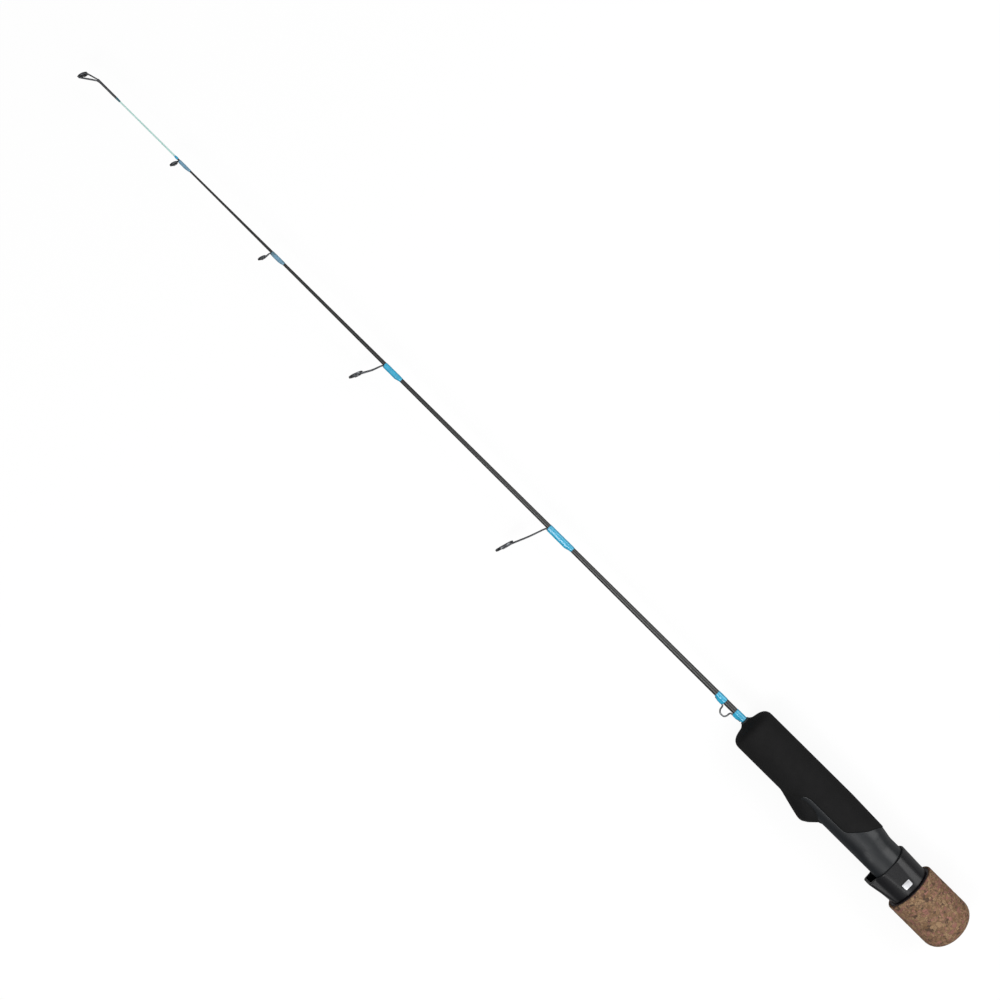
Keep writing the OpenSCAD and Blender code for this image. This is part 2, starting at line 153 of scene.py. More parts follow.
def turned(x, r, angle, y=0.0):
    """Points at radius r and angle from +Y round a line along X at height y. x and y go down the rows, and r
    may change from row to row and from angle to angle."""
    x = np.asarray(x, float)
    r = np.asarray(r, float)
    r = r[:, None] if r.ndim == 1 else r
    angle = np.asarray(angle, float)
    angle = angle[None, :] if angle.ndim == 1 else angle
    y = np.broadcast_to(np.asarray(y, float), x.shape)[:, None]
    flat = np.zeros_like(r * angle)
    return np.stack([x[:, None] + flat, y + r * np.cos(angle), r * np.sin(angle)], axis=-1)


def around(sides):
    """Evenly spaced angles of one full turn."""
    return np.linspace(0, TAU, sides, endpoint=False)


def lathe(outline, y=0.0, sides=96, closed=True):
    """Outline of (place along the rod, radius) carried once round a line along X at height y."""
    return skin(turned(outline[:, 0], outline[:, 1], around(sides), y), close_rows=closed)


def sweep(path, wide, tall, sides=18):
    """Carries an ellipse along a path, its width kept across the rod as far as the path lets it. Each end
    closes in a dome: the ellipse shrinks with the cosine while it goes on by its own size."""
    path = np.asarray(path, float)
    count = len(path)
    wide = np.broadcast_to(np.asarray(wide, float), (count,))
    tall = np.broadcast_to(np.asarray(tall, float), (count,))
    t = np.linspace(np.pi / 2, 0, 6, endpoint=False)
    first = (path[0] - path[1]) / np.linalg.norm(path[0] - path[1])
    last = (path[-1] - path[-2]) / np.linalg.norm(path[-1] - path[-2])
    head = path[0] + first * (tall[0] * np.sin(t))[:, None]
    foot = path[-1] + last * (tall[-1] * np.sin(t[::-1]))[:, None]
    path = np.concatenate([head, path, foot])
    wide = np.concatenate([wide[0] * np.cos(t), wide, wide[-1] * np.cos(t[::-1])])
    tall = np.concatenate([tall[0] * np.cos(t), tall, tall[-1] * np.cos(t[::-1])])
    along = np.gradient(path, axis=0)
    along /= np.linalg.norm(along, axis=1, keepdims=True)
    side = np.array([0, 0, 1.0])
    across = side - (along @ side)[:, None] * along
    across /= np.linalg.norm(across, axis=1, keepdims=True)
    up = np.cross(along, across)
    t = around(sides)[None, :, None]
    ring = across[:, None] * wide[:, None, None] * np.cos(t) + up[:, None] * tall[:, None, None] * np.sin(t)
    return skin(path[:, None] + ring, ends=True)


def lowest(a, b, power):
    """Smaller of two radii, with the corner between them rounded: one over the power sum of one over each."""
    return (a ** -power + b ** -power) ** (-1 / power)


def highest(a, b, power):
    """Larger of two radii, with a small fillet between them: the power sum with a high power."""
    return (a ** power + b ** power) ** (1 / power)


def rolled(d, ease):
    """How far a face drops at a distance d from its edge when the edge is a quarter round of radius ease."""
    return ease - np.sqrt(ease ** 2 - (ease - np.clip(d, 0, ease)) ** 2)


def stations(start, end, count, ease_start=0.0, ease_end=0.0, fine=7):
    """Places from start to end, packed together over the rounding at each end."""
    t = 1 - np.cos(np.linspace(0, np.pi / 2, fine))
    sign = np.sign(end - start)
    middle = np.linspace(start + sign * ease_start, end - sign * ease_end, count)
    head = start + sign * ease_start * t if ease_start else middle[:0]
    foot = end - sign * ease_end * t[::-1] if ease_end else middle[:0]
    return np.concatenate([head, middle, foot])


# ---------------------------------------------------------------- finishes

class Finish:
    """One Principled shader whose pattern reads Object coordinates. Plain numbers sit on the shader."""

    def __init__(self, name, **fixed):
        self.material = bpy.data.materials.new(name)
        self.material.use_nodes = True
        self.tree = self.material.node_tree
        self.shader = self.tree.nodes["Principled BSDF"]
        self.place = self.tree.nodes.new("ShaderNodeTexCoord").outputs["Object"]
        self.fill(self.shader, {key.replace("_", " "): value for key, value in fixed.items()})

    def fill(self, node, values):
        for key, value in values.items():
            if isinstance(value, bpy.types.NodeSocket):
                self.tree.links.new(value, node.inputs[key])
            else:
                node.inputs[key].default_value = value

    def add(self, kind, values, **settings):
        node = self.tree.nodes.new(kind)
        for key, value in settings.items():
            setattr(node, key, value)
        self.fill(node, values)
        return node

    def drawn(self, scale, vector=None):
        values = {"Vector": vector or self.place, "Scale": scale}
        return self.add("ShaderNodeMapping", values).outputs["Vector"]

    def noise(self, scale, detail=4.0, rough=0.55, vector=None):
        values = {"Vector": vector or self.place, "Scale": scale, "Detail": detail, "Roughness": rough}
        return self.add("ShaderNodeTexNoise", values).outputs["Fac"]

    def cells(self, scale, vector=None, feature="F1"):
        values = {"Vector": vector or self.place, "Scale": scale}
        return self.add("ShaderNodeTexVoronoi", values, feature=feature)

    def sum(self, operation, a, b=0.0):
        return self.add("ShaderNodeMath", {0: a, 1: b}, operation=operation).outputs[0]

    def both(self, a, part_a, b, part_b):
        return self.sum("ADD", self.sum("MULTIPLY", a, part_a), self.sum("MULTIPLY", b, part_b))

    def scaled(self, fac, low, high, from_low=0.0, from_high=1.0):
        values = {"Value": fac, "From Min": from_low, "From Max": from_high, "To Min": low, "To Max": high}
        return self.add("ShaderNodeMapRange", values).outputs["Result"]

    def vector(self, operation, values):
        return self.add("ShaderNodeVectorMath", values, operation=operation).outputs[0]

    def ramp(self, fac, stops, steps=False):
        node = self.add("ShaderNodeValToRGB", {"Fac": fac})
        node.color_ramp.interpolation = "CONSTANT" if steps else "LINEAR"
        marks = node.color_ramp.elements
        for _ in stops[2:]:
            marks.new(1.0)
        for mark, (at, colour) in zip(marks, stops):
            mark.position = at
            mark.color = (*colour, 1)
        return node.outputs["Color"]

    def blend(self, fac, a, b, kind="MIX"):
        a, b = ((*colour, 1) if isinstance(colour, tuple) else colour for colour in (a, b))
        return self.add("ShaderNodeMix", {0: fac, 6: a, 7: b}, data_type="RGBA", blend_type=kind).outputs[2]

    def axis(self, name):
        return self.add("ShaderNodeSeparateXYZ", {"Vector": self.place}).outputs[name]

    def bump(self, height, depth, strength):
        values = {"Height": height, "Distance": depth, "Strength": strength}
        return self.add("ShaderNodeBump", values).outputs["Normal"]

    def use(self, colour, rough, normal, coat_normal=None):
        self.fill(self.shader, {"Base Color": colour, "Roughness": rough, "Normal": normal})
        if coat_normal:
            self.fill(self.shader, {"Coat Normal": coat_normal})
        return self.material


# Pitch of the winding tape and width of the binding thread, in metres.
TAPE_PITCH = 0.0021
THREAD_WIDTH = 0.00017


def foam_finish():
    """Closed-cell foam, sanded: black, dull, with fine open cells and a little grey dust in them."""
    f = Finish("foam_sanded", Specular_IOR_Level=0.2)
    cell = f.cells(2600.0)
    fine = f.noise(5200.0, 3.0, 0.6)
    broad = f.noise(160.0, 4.0, 0.6)
    tone = f.both(fine, 0.6, broad, 0.4)
    colour = f.ramp(tone, [(0.3, (0.0032, 0.0032, 0.0034)), (0.72, (0.009, 0.0089, 0.0091))])
    height = f.both(cell.outputs["Distance"], 0.7, fine, 0.5)
    return f.use(colour, f.scaled(fine, 0.72, 0.92), f.bump(height, 0.00005, 0.6))


def moulded_finish(name, dark, light, rough, grain, shine=0.5):
    """Moulded filled plastic: fine pebbled grain, slow changes of gloss, faint flow marks along the part."""
    f = Finish(name, Specular_IOR_Level=shine)
    flow = f.noise(120.0, 5.0, 0.6, f.drawn((0.25, 1.0, 1.0)))
    fine = f.noise(3200.0, 3.0, 0.5)
    colour = f.ramp(flow, [(0.3, dark), (0.75, light)])
    mixed = f.both(fine, 0.7, flow, 0.3)
    return f.use(colour, f.scaled(mixed, rough - 0.05, rough + 0.06, 0.3, 0.7), f.bump(fine, 0.000008, grain))


def cork_finish(name, colours, size, dark_joints):
    """Cork pressed from crumbs: cells of several colours and two sizes, darker joints between them, lines and
    speckles inside each crumb, and small open pores."""
    f = Finish(name, Specular_IOR_Level=0.3)
    warp = f.add("ShaderNodeTexNoise", {"Vector": f.place, "Scale": 420.0, "Detail": 3.0}).outputs["Color"]
    shift = f.vector("SUBTRACT", {0: warp, 1: (0.5, 0.5, 0.5)})
    bent = f.vector("ADD", {0: f.place, 1: f.vector("SCALE", {0: shift, "Scale": 0.0019})})
    stretched = f.drawn((1.25, 0.9, 0.9), bent)
    crumb = f.cells(1 / size, stretched)
    chip = f.cells(2.3 / size, bent)
    crumb_pick = f.add("ShaderNodeSeparateColor", {"Color": crumb.outputs["Color"]}).outputs["Red"]
    chip_pick = f.add("ShaderNodeSeparateColor", {"Color": chip.outputs["Color"]}).outputs["Green"]
    count = len(colours)
    base = f.ramp(crumb_pick, [(i / count, colour) for i, colour in enumerate(colours)], steps=True)
    small = f.ramp(chip_pick, [(i / count, colour) for i, colour in enumerate(colours[::-1])], steps=True)
    chips = f.scaled(f.noise(260.0, 2.0), 0.0, 0.9, 0.46, 0.56)
    colour = f.blend(chips, base, small)
    grain = f.noise(2600.0, 5.0, 0.65, f.drawn((0.5, 1, 1), bent))
    shade = f.ramp(grain, [(0.3, (0.42, 0.42, 0.42)), (0.7, (1.0, 1.0, 1.0))])
    colour = f.blend(0.5, colour, shade, "MULTIPLY")
    edge = f.cells(1 / size, stretched, "DISTANCE_TO_EDGE").outputs["Distance"]
    joint = f.scaled(edge, 1.0, 0.0, 0.0, 0.07)
    colour = f.blend(f.sum("MULTIPLY", joint, 0.75), colour, dark_joints)
    pore = f.scaled(f.noise(1500.0, 2.0, 0.5), 1.0, 0.0, 0.30, 0.37)
    colour = f.blend(f.sum("MULTIPLY", pore, 0.8), colour, tuple(c * 0.5 for c in dark_joints))
    low = f.sum("ADD", f.sum("MULTIPLY", joint, 0.6), pore)
    height = f.sum("SUBTRACT", f.sum("MULTIPLY", grain, 0.5), low)
    return f.use(colour, f.scaled(grain, 0.62, 0.85), f.bump(height, 0.00009, 0.8))


def blank_finish():
    """Carbon tube under clear varnish: olive-black, with the faint turns that the winding tape leaves."""
    f = Finish("blank_varnished", Specular_IOR_Level=0.45, Coat_Weight=0.3, Coat_Roughness=0.2, Coat_IOR=1.5)
    phase = f.both(f.axis("X"), TAU / TAPE_PITCH, f.noise(70.0), 3.0)
    turns = f.sum("SINE", phase)
    slow = f.noise(45.0, 3.0, 0.5, f.drawn((1.0, 3.0, 3.0)))
    weave = f.noise(2600.0, 3.0, 0.6, f.drawn((0.08, 1, 1)))
    tone = f.both(slow, 0.6, weave, 0.4)
    colour = f.ramp(tone, [(0.3, (0.0085, 0.0088, 0.0088)), (0.7, (0.016, 0.0165, 0.0155))])
    return f.use(colour, f.scaled(weave, 0.34, 0.46), f.bump(turns, 0.000002, 0.4))


def tip_finish():
    """Solid glass tip in pale mint paint, under a clear coat that isn't quite even."""
    f = Finish("tip_mint", Specular_IOR_Level=0.5, Coat_Weight=0.7, Coat_Roughness=0.1)
    slow = f.noise(60.0, 4.0, 0.6)
    fine = f.noise(1800.0, 3.0, 0.6, f.drawn((0.1, 1, 1)))
    mixed = f.both(slow, 0.5, fine, 0.5)
    colour = f.ramp(mixed, [(0.3, (0.36, 0.66, 0.6)), (0.7, (0.62, 0.88, 0.82))])
    return f.use(colour, f.scaled(fine, 0.3, 0.45), f.bump(slow, 0.00002, 0.4))


def wrap_finish(name, thread, shade, ends=None):
    """Thread wound side by side under epoxy: one fine line for each turn, threads that differ a little, and a
    clear glossy coat with slow waves."""
    f = Finish(name, Specular_IOR_Level=0.5, Coat_Weight=0.7, Coat_Roughness=0.05, Coat_IOR=1.5)
    turn = f.sum("MULTIPLY", f.axis("X"), 1 / THREAD_WIDTH)
    line = f.sum("ABSOLUTE", f.sum("SINE", f.sum("MULTIPLY", turn, np.pi)))
    each = {"W": f.sum("FLOOR", turn), "Scale": 3.7}
    single = f.add("ShaderNodeTexNoise", each, noise_dimensions="1D").outputs[0]
    soak = f.noise(420.0, 4.0, 0.6)
    tone = f.both(single, 0.45, soak, 0.55)
    colour = f.ramp(tone, [(0.3, shade), (0.66, thread)])
    colour = f.blend(f.scaled(line, 0.42, 0.0, 0.0, 0.75), colour, tuple(0.55 * c for c in shade))
    if ends:
        colour = f.blend(f.scaled(f.noise(170.0, 2.0), 0.0, 0.55, 0.5, 0.62), colour, ends)
    waves = f.bump(f.noise(330.0, 2.0, 0.5), 0.00012, 0.03)
    return f.use(colour, f.scaled(line, 0.5, 0.3), f.bump(line, 0.00003, 0.5), waves)


def metal_finish(name, dark, light, rough, lie=(0.25, 1.0, 1.0)):
    """Plated, drawn or brushed metal: fine lines in tone and gloss that lie one way, with rubbed places."""
    f = Finish(name, Metallic=1.0, Specular_IOR_Level=0.5)
    lines = f.noise(900.0, 4.0, 0.6, f.drawn(lie))
    rubbed = f.noise(260.0, 4.0, 0.6)
    mixed = f.both(lines, 0.55, rubbed, 0.45)
    colour = f.ramp(mixed, [(0.3, dark), (0.72, light)])
    return f.use(colour, f.scaled(mixed, rough - 0.07, rough + 0.1, 0.3, 0.7), f.bump(lines, 0.000006, 0.4))


def ceramic_finish():
    """Polished hard ring: near black, very smooth, with a trace of grinding marks."""
    f = Finish("ring_polished", Specular_IOR_Level=0.6, Coat_Weight=0.4, Coat_Roughness=0.05)
    fine = f.noise(3000.0, 3.0, 0.5)
    slow = f.noise(500.0, 2.0, 0.5)
    colour = f.ramp(slow, [(0.3, (0.008, 0.008, 0.01)), (0.7, (0.02, 0.02, 0.024))])
    return f.use(colour, f.scaled(fine, 0.1, 0.2), f.bump(fine, 0.000003, 0.3))


def rubber_finish():
    """Dull dark rubber with a light bloom."""
    f = Finish("rubber_dull", Specular_IOR_Level=0.35)
    fine = f.noise(2400.0, 4.0, 0.6)
    colour = f.ramp(fine, [(0.3, (0.014, 0.018, 0.022)), (0.72, (0.03, 0.036, 0.042))])
    return f.use(colour, f.scaled(fine, 0.5, 0.7), f.bump(fine, 0.00002, 0.5))


BURL = [(0.26, 0.15, 0.078), (0.36, 0.225, 0.12), (0.19, 0.105, 0.052), (0.34, 0.155, 0.115),
        (0.235, 0.135, 0.07), (0.10, 0.058, 0.034), (0.32, 0.20, 0.11), (0.28, 0.125, 0.095),
        (0.27, 0.165, 0.085)]
PLAIN_CORK = [(0.52, 0.36, 0.2), (0.6, 0.44, 0.27), (0.45, 0.3, 0.16), (0.56, 0.4, 0.23)]

FOAM = foam_finish()
SEAT = moulded_finish("seat_moulded", (0.0085, 0.0098, 0.0115), (0.0125, 0.0145, 0.017), 0.32, 0.3, 0.4)
DULL = moulded_finish("front_hood_dull", (0.004, 0.004, 0.0042), (0.009, 0.009, 0.0092), 0.78, 0.9, 0.18)
HOOD = moulded_finish("hood_moulded", (0.005, 0.005, 0.006), (0.008, 0.008, 0.0095), 0.27, 0.2, 0.4)
NUT = moulded_finish("nut_moulded", (0.016, 0.012, 0.015), (0.03, 0.023, 0.028), 0.36, 0.35)
CORK = cork_finish("burl_cork_pressed", BURL, 0.0021, (0.07, 0.042, 0.028))
ARBOR = cork_finish("arbor_cork_plain", PLAIN_CORK, 0.0026, (0.2, 0.12, 0.06))
BLANK = blank_finish()
MINT = tip_finish()
BLUE = wrap_finish("wrap_bright_blue", (0.025, 0.47, 0.72), (0.012, 0.31, 0.52))
DULL_BLUE = wrap_finish("wrap_grey_blue", (0.19, 0.38, 0.53), (0.09, 0.24, 0.35), (0.04, 0.09, 0.095))
TEAL = wrap_finish("wrap_dark_teal", (0.03, 0.17, 0.22), (0.012, 0.075, 0.1))
GUNMETAL = metal_finish("guide_gunmetal", (0.075, 0.08, 0.088), (0.17, 0.175, 0.185), 0.27)
STEEL = metal_finish("keeper_wire_drawn", (0.1, 0.102, 0.108), (0.21, 0.213, 0.22), 0.3)
BRIGHT = metal_finish("plate_brushed", (0.6, 0.61, 0.63), (0.74, 0.74, 0.76), 0.32, (1.0, 0.06, 1.0))
CERAMIC = ceramic_finish()
RUBBER = rubber_finish()


# ---------------------------------------------------------------- blank and tip section

# Stations of the blank and the tip section: place along the rod and radius.
TAPER_X = [-50, 94.5, 388.6, 558]
TAPER_R = [2.35, 1.95, 1.2, 0.55]
TIP_X = [558, 621]
TIP_R = [0.5, 0.42]


def blank_radius(x):
    """Radius of the blank or, past its end, of the tip section: straight tapers between stations."""
    return np.interp(x, TAPER_X + TIP_X[1:], TAPER_R + TIP_R[1:])


def tapered(x0, x1, r0, r1, ease):
    """Tapered rod with an eased edge and a filled face at each end."""
    x = stations(x0, x1, 60, ease, ease, 5)
    r = np.interp(x, [x0, x1], [r0, r1]) - rolled(np.minimum(x - x0, x1 - x), ease)
    ends_x = np.concatenate([[x0], x, [x1]])
    ends_r = np.concatenate([[0], r, [0]])
    return np.stack([ends_x, ends_r], axis=1)


def make_blank():
    """Blank: a taper through four stations, closed at the butt and at the joint."""
    x0, x1 = span("blank")
    x = stations(x0, x1, 220, 0.3, 0.15, 5)
    r = blank_radius(np.minimum(x, x1 - 0.01)) - rolled(x - x0, 0.3)
    outline = np.stack([np.r_[x0, x, x1], np.r_[0, r, 0]], axis=1)
    piece("blank_tube", [lathe(outline, sides=64, closed=False)], "rod", BLANK, ["blank"])


def make_tip():
    """Tip section: a slim taper and, inside the blank, its spigot."""
    rear, front = span("tip_section")
    main = tapered(TIP_X[0], front, TIP_R[0], TIP_R[1], 0.1)
    spigot = tapered(rear, TIP_X[0] + 0.2, 0.35, 0.35, 0.08)
    skins = [lathe(main, sides=40, closed=False), lathe(spigot, sides=32, closed=False)]
    piece("glass_tip", skins, "rod", MINT, ["tip_section"])


# ---------------------------------------------------------------- guides

class Ring:
    """A guide's ring: its centre, lean, hole and collar, from the record's mount and the node's box."""

    def __init__(self, mount, frame_node):
        pos = MOUNTS[mount]["pos_m"]
        axis = MOUNTS[mount]["axis"]
        low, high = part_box(frame_node)
        self.centre = np.array([pos[0], pos[1] - AXIS_Y, pos[2] - AXIS_Z]) / MM
        self.along = np.array([-axis[0], -axis[1], 0.0])
        self.top = np.array([-self.along[1], self.along[0], 0.0])
        self.hole = MOUNTS[mount]["dims"]["r_mm"]
        self.outer = (high.z - low.z) / MM / 2
        self.width = 0.6 + 0.12 * self.outer
        self.liner = self.outer - 0.35

    def at(self, u, r, angle, side=1):
        """Point at u along the ring's axis, radius r, and an angle from the ring's side nearest the blank."""
        u, r, angle = np.broadcast_arrays(*(np.asarray(v, float) for v in (u, r, angle)))
        lateral = (r * np.sin(angle) * side)[..., None] * np.array([0, 0, 1.0])
        fore = u[..., None] * self.along
        return self.centre + fore - (r * np.cos(angle))[..., None] * self.top + lateral

    def hoop(self, outline, sides):
        """Closed outline of (along the ring's axis, radius) carried once round that axis."""
        angle = around(sides)[None, :]
        return skin(self.at(outline[:, :1], outline[:, 1:], angle), close_rows=True)


def liner_outline(ring):
    """Cross-section of the hard ring: a squared ellipse from its hole to the collar."""
    t = around(28)
    half = ring.width / 2 + 0.2
    middle = (ring.hole + ring.liner) / 2
    thick = (ring.liner - ring.hole) / 2
    u = half * np.sign(np.cos(t)) * np.abs(np.cos(t)) ** 0.75
    r = middle + thick * np.sign(np.sin(t)) * np.abs(np.sin(t)) ** 0.75
    return np.stack([u, r], axis=1)


def collar_outline(ring):
    """Cross-section of the metal collar: a thin band with rolled edges."""
    half = ring.width / 2
    inner = ring.liner - 0.02
    outer = ring.outer
    return eased([(-half, inner, 0.08), (-half, outer, 0.2), (half, outer, 0.2), (half, inner, 0.08)])


def foot_skin(x0, x1, height, half_width):
    """Flattened foot on the blank: an ellipse carried along it, ramping up from its thin rear end."""
    x = np.linspace(x0, x1, 26)
    rise = np.clip((x - x0) / (x1 - x0) * 1.9, 0.25, 1)
    tall = height / 2 * rise
    path = np.stack([x, blank_radius(x) + tall * 0.9, 0 * x], axis=1)
    return sweep(path, half_width * (0.55 + 0.45 * rise), tall, sides=20)


def leg_skin(ring, wrap_front, wire, side, bow):
    """Leg wire: out of the foot, up with a slight bow, and round the collar's rear edge past its middle."""
    root = blank_radius(wrap_front)
    back = -(ring.width / 2 + wire * 0.25)
    start = [[wrap_front - 3.5, root + wire * 0.75, side * wire * 0.75],
             [wrap_front - 0.4, root + wire * 0.85, side * wire * 0.8],
             [wrap_front + wire * 1.6, root + wire * 1.7, side * wire * 0.9]]
    hug = ring.at(back, ring.outer - wire * 0.35, np.radians([38, 58, 80, 104]), side)
    knee = np.array(start[2])
    middle = knee + (hug[0] - knee) * 0.5
    middle[0] += bow
    path = through(np.concatenate([start, [middle], hug]), 9)
    return sweep(path, wire, wire, sides=16)


def make_guide(number, wire, bow, finish):
    """One guide: liner, frame with collar, legs and foot, and the wrap that holds the foot."""
    ring = Ring(f"line_guide_{number}", f"guide_{number}_frame")
    rear, front = span(f"guide_{number}_wrap")
    foot_rear = rear + (front - rear) * 0.12
    guide = f"guide_{number}"
    liner = ring.hoop(liner_outline(ring), 88)
    piece(f"{guide}_liner", [liner], "rod", CERAMIC, [f"{guide}_ring"])
    foot = foot_skin(foot_rear, front + wire * 1.2, wire * 1.7, wire * 1.6)
    legs = [leg_skin(ring, front, wire, side, bow) for side in (-1, 1)]
    skins = [ring.hoop(collar_outline(ring), 88), foot] + legs
    piece(f"{guide}_wires", skins, "rod", GUNMETAL, [f"{guide}_frame"])
    body = wrap_skin(rear, front, wire * 1.75, wire * 1.6, (foot_rear, front + 1), (1.5, 0.55))
    piece(f"{guide}_winding", [body], "rod", finish, [f"{guide}_wrap"])


def wrap_skin(x0, x1, height, half_width, foot_ends, ramps):
    """Wrap and its epoxy: the blank's radius, plus a coat that thins out over a ramp at each end, plus a hump
    over the wire's foot: a bell of the angle from it, between the foot's ends."""
    x = stations(x0, x1, 70, ramps[0], ramps[1], 12)
    angle = around(72)
    rear = np.clip((x - x0) / ramps[0], 0, 1)
    front = np.clip((x1 - x) / ramps[1], 0, 1)
    end = np.sqrt(1 - (1 - rear) ** 2) * np.sqrt(1 - (1 - front) ** 2)
    base = blank_radius(x)
    foot = np.clip((x - foot_ends[0]) / 3 + 0.35, 0, 1) * np.clip((foot_ends[1] - x) / 3 + 0.35, 0, 1)
    spread = (half_width + 0.3) / (base + 0.4 * height)
    turn = np.minimum(angle, TAU - angle)
    hump = np.exp(-(turn[None, :] / (1.15 * spread[:, None])) ** 2)
    coat = 0.16 + 0.025 * np.sin(x * 1.3)[:, None] * np.cos(angle * 2 + 0.4 * x[:, None])
    rise = end[:, None] * (coat + hump * (foot * height)[:, None] * 1.02)
    outer = base[:, None] + 0.01 + rise
    inner = np.repeat((blank_radius(x[::-1]) - 0.06)[:, None], len(angle), axis=1)
    return skin(turned(np.r_[x, x[::-1]], np.concatenate([outer, inner]), angle), close_rows=True)


def make_tip_top():
    """Tip-top: tube with a rolled front rim, collar, two near-straight struts to the collar's near side and
    two braces to its far side."""
    ring = Ring("tip_guide", "tip_top_frame")
    rear, front = span("tip_top_wrap")
    tube_end = TIP_X[1] + 2
    liner = ring.hoop(liner_outline(ring), 80)
    piece("tip_top_liner", [liner], "rod", CERAMIC, ["tip_top_ring"])
    bore = 0.455
    tube = eased([(front, bore, 0.03), (front, 0.7, 0.08), (tube_end - 0.6, 0.72, 0.1), (tube_end, 0.74, 0.2),
                  (tube_end, bore, 0.05)])
    rim_t = around(16)
    rim = np.stack([tube_end - 0.1 + 0.16 * np.cos(rim_t), 0.6 + 0.16 * np.sin(rim_t)], axis=1)
    plug = np.array([(tube_end - 2.4, 0), (tube_end - 2.4, 0.46), (tube_end - 0.25, 0.46),
                     (tube_end - 0.15, 0)])
    skins = [ring.hoop(collar_outline(ring), 80), lathe(tube, sides=48), lathe(rim, sides=48)]
    skins.append(lathe(plug, sides=32, closed=False))
    back = -(ring.width / 2 + 0.02)
    for side in (-1, 1):
        near = ring.at(back, ring.outer - 0.1, np.radians([22, 40, 62, 84]), side)
        strut = [[tube_end - 1.6, -0.32, side * 0.42], [tube_end, -0.1, side * 0.5]]
        far = ring.at(back, ring.outer - 0.1, np.radians([112, 132, 156]), side)
        brace = [[tube_end - 2.2, 0.42, side * 0.3], [tube_end - 0.4, 0.75, side * 0.42],
                 [tube_end + 1.2, 1.5, side * 0.95]]
        skins.append(sweep(through(np.concatenate([strut, near])), 0.36, 0.36, sides=14))
        skins.append(sweep(through(np.concatenate([brace, far[::-1]])), 0.31, 0.31, sides=14))
    piece("tip_top_wires", skins, "rod", GUNMETAL, ["tip_top_frame"])
    wrap = eased([(rear, 0.40, 0.02), (rear, 0.5, 0.05), (rear + 0.9, 0.6, 0.4), (front - 0.1, 0.7, 0.12),
                  (front + 0.25, 0.7, 0.1), (front + 0.3, 0.40, 0.02)])
    piece("tip_top_winding", [lathe(wrap, sides=48)], "rod", TEAL, ["tip_top_wrap"])
    rear, front = span("splice_wrap")
    wrap = eased([(rear - 0.6, 0.40, 0.02), (rear - 0.6, 0.6, 0.05), (rear, 0.78, 0.3),
                  (rear + 0.9, 0.74, 0.3), (front, 0.56, 0.2), (front, 0.40, 0.02)])
    piece("splice_winding", [lathe(wrap, sides=48)], "rod", BLUE, ["splice_wrap"])


# ---------------------------------------------------------------- hook keeper

def make_keeper():
    """Hook keeper: one wire with a foot on the blank, a rounded loop that stands up, and another foot."""
    rear, front = span("hook_keeper")
    wire = 0.5
    top = (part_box("hook_keeper")[1].y - AXIS_Y) / MM
    base = blank_radius(106.0) + wire
    side = [(109.9, 3.7), (109.55, 5.4), (108.3, top - 0.75), (106.9, top - 0.5), (105.3, top - 0.75),
            (104.35, 5.4), (104.15, 3.7)]
    loop = [[x, y, 0] for x, y in side]
    ahead = [[front - 0.3, base - 0.15, 0], [114.5, base - 0.05, 0], [111.9, base, 0],
             [110.4, base + 0.3, 0]]
    behind = [[103.6, base + 0.35, 0], [102.2, base + 0.02, 0], [100.5, base, 0],
              [rear + 0.3, base - 0.15, 0]]
    path = through(np.concatenate([ahead, loop, behind]), 8)
    flat = np.clip((np.abs(path[:, 0] - 106.7) - 4.6) / 3, 0, 1)
    keeper = sweep(path, wire * (1 + 0.25 * flat), wire * (1 - 0.2 * flat), sides=20)
    piece("keeper_wire", [keeper], "rod", STEEL, ["hook_keeper"])
    rear, front = span("keeper_front_wrap")
    winding = wrap_skin(rear, front, 0.95, wire, (rear - 1, front - 1.2), (0.7, 1.2))
    piece("keeper_front_winding", [winding], "rod", BLUE, ["keeper_front_wrap"])
    rear, front = span("keeper_rear_wrap")
    winding = wrap_skin(rear, front, 0.95, wire, (rear + 1.6, front + 1), (1.0, 0.7))
    piece("keeper_rear_winding", [winding], "rod", BLUE, ["keeper_rear_wrap"])


# ---------------------------------------------------------------- foregrip and reel seat

# Radii of the foregrip in front and at its rear end, of the seat's core inside it, and of the core's bore.
GRIP_R = 13.7
GRIP_R_REAR = 12.9
CORE_R = 10.6
BORE_R = 6.5
# Places along the rod: front end of the core, where the foam becomes a full turn, rear end of its tongue, and
# rear end of the sleeve that the hood slides on.
SEAT_FRONT = 52.0
CLOSE_X = 51.27
TONGUE_TIP = -5.0
SLEEVE_REAR = -22.5
# The sleeve and the barrel are off the rod's axis by BARREL_Y, and the fixed hood is round about HUMP_Y.
BARREL_Y = 1.4
HUMP_Y = 6.0
SLEEVE_R = 12.52
BARREL_R = 8.65
THREAD_HEIGHT = 0.6
THREAD_PITCH = 2.0
# Height of the reel's foot over the rod's axis, and the seat's step down from the foam.
FOOT_H = -AXIS_Y / MM
SKIN_GAP = 0.2
# Pocket in the fixed hood: its roof, half its width, and its front end.
ROOF = 15.2
ROOF_HALF = 5.8
POCKET_END = 37.0
# Corners of the foam's edge from the side: place, height over the rod's axis, and ease.
EDGE = [(52.4, 14.3, 0), (39.7, 5.6, 2.6), (11.3, 5.6, 2.6), (2.2, -4.5, 3.0), (-0.6, -9.4, 2.5),
        (-5.0, -13.0, 0)]


def edge_curve():
    """Side outline of the foam's edge, sampled evenly along its length."""
    curve = eased(EDGE, 9)
    step = np.r_[0, np.cumsum(np.linalg.norm(np.diff(curve, axis=0), axis=1))]
    even = np.linspace(0, step[-1], 190)
    return np.stack([np.interp(even, step, curve[:, 0]), np.interp(even, step, curve[:, 1])], axis=1)


EDGE_LINE = edge_curve()


def grip_radius(x):
    """Radius of the foregrip before its nose: a slight swell from the rear."""
    return np.interp(x, [-5.5, 20], [GRIP_R_REAR, GRIP_R])


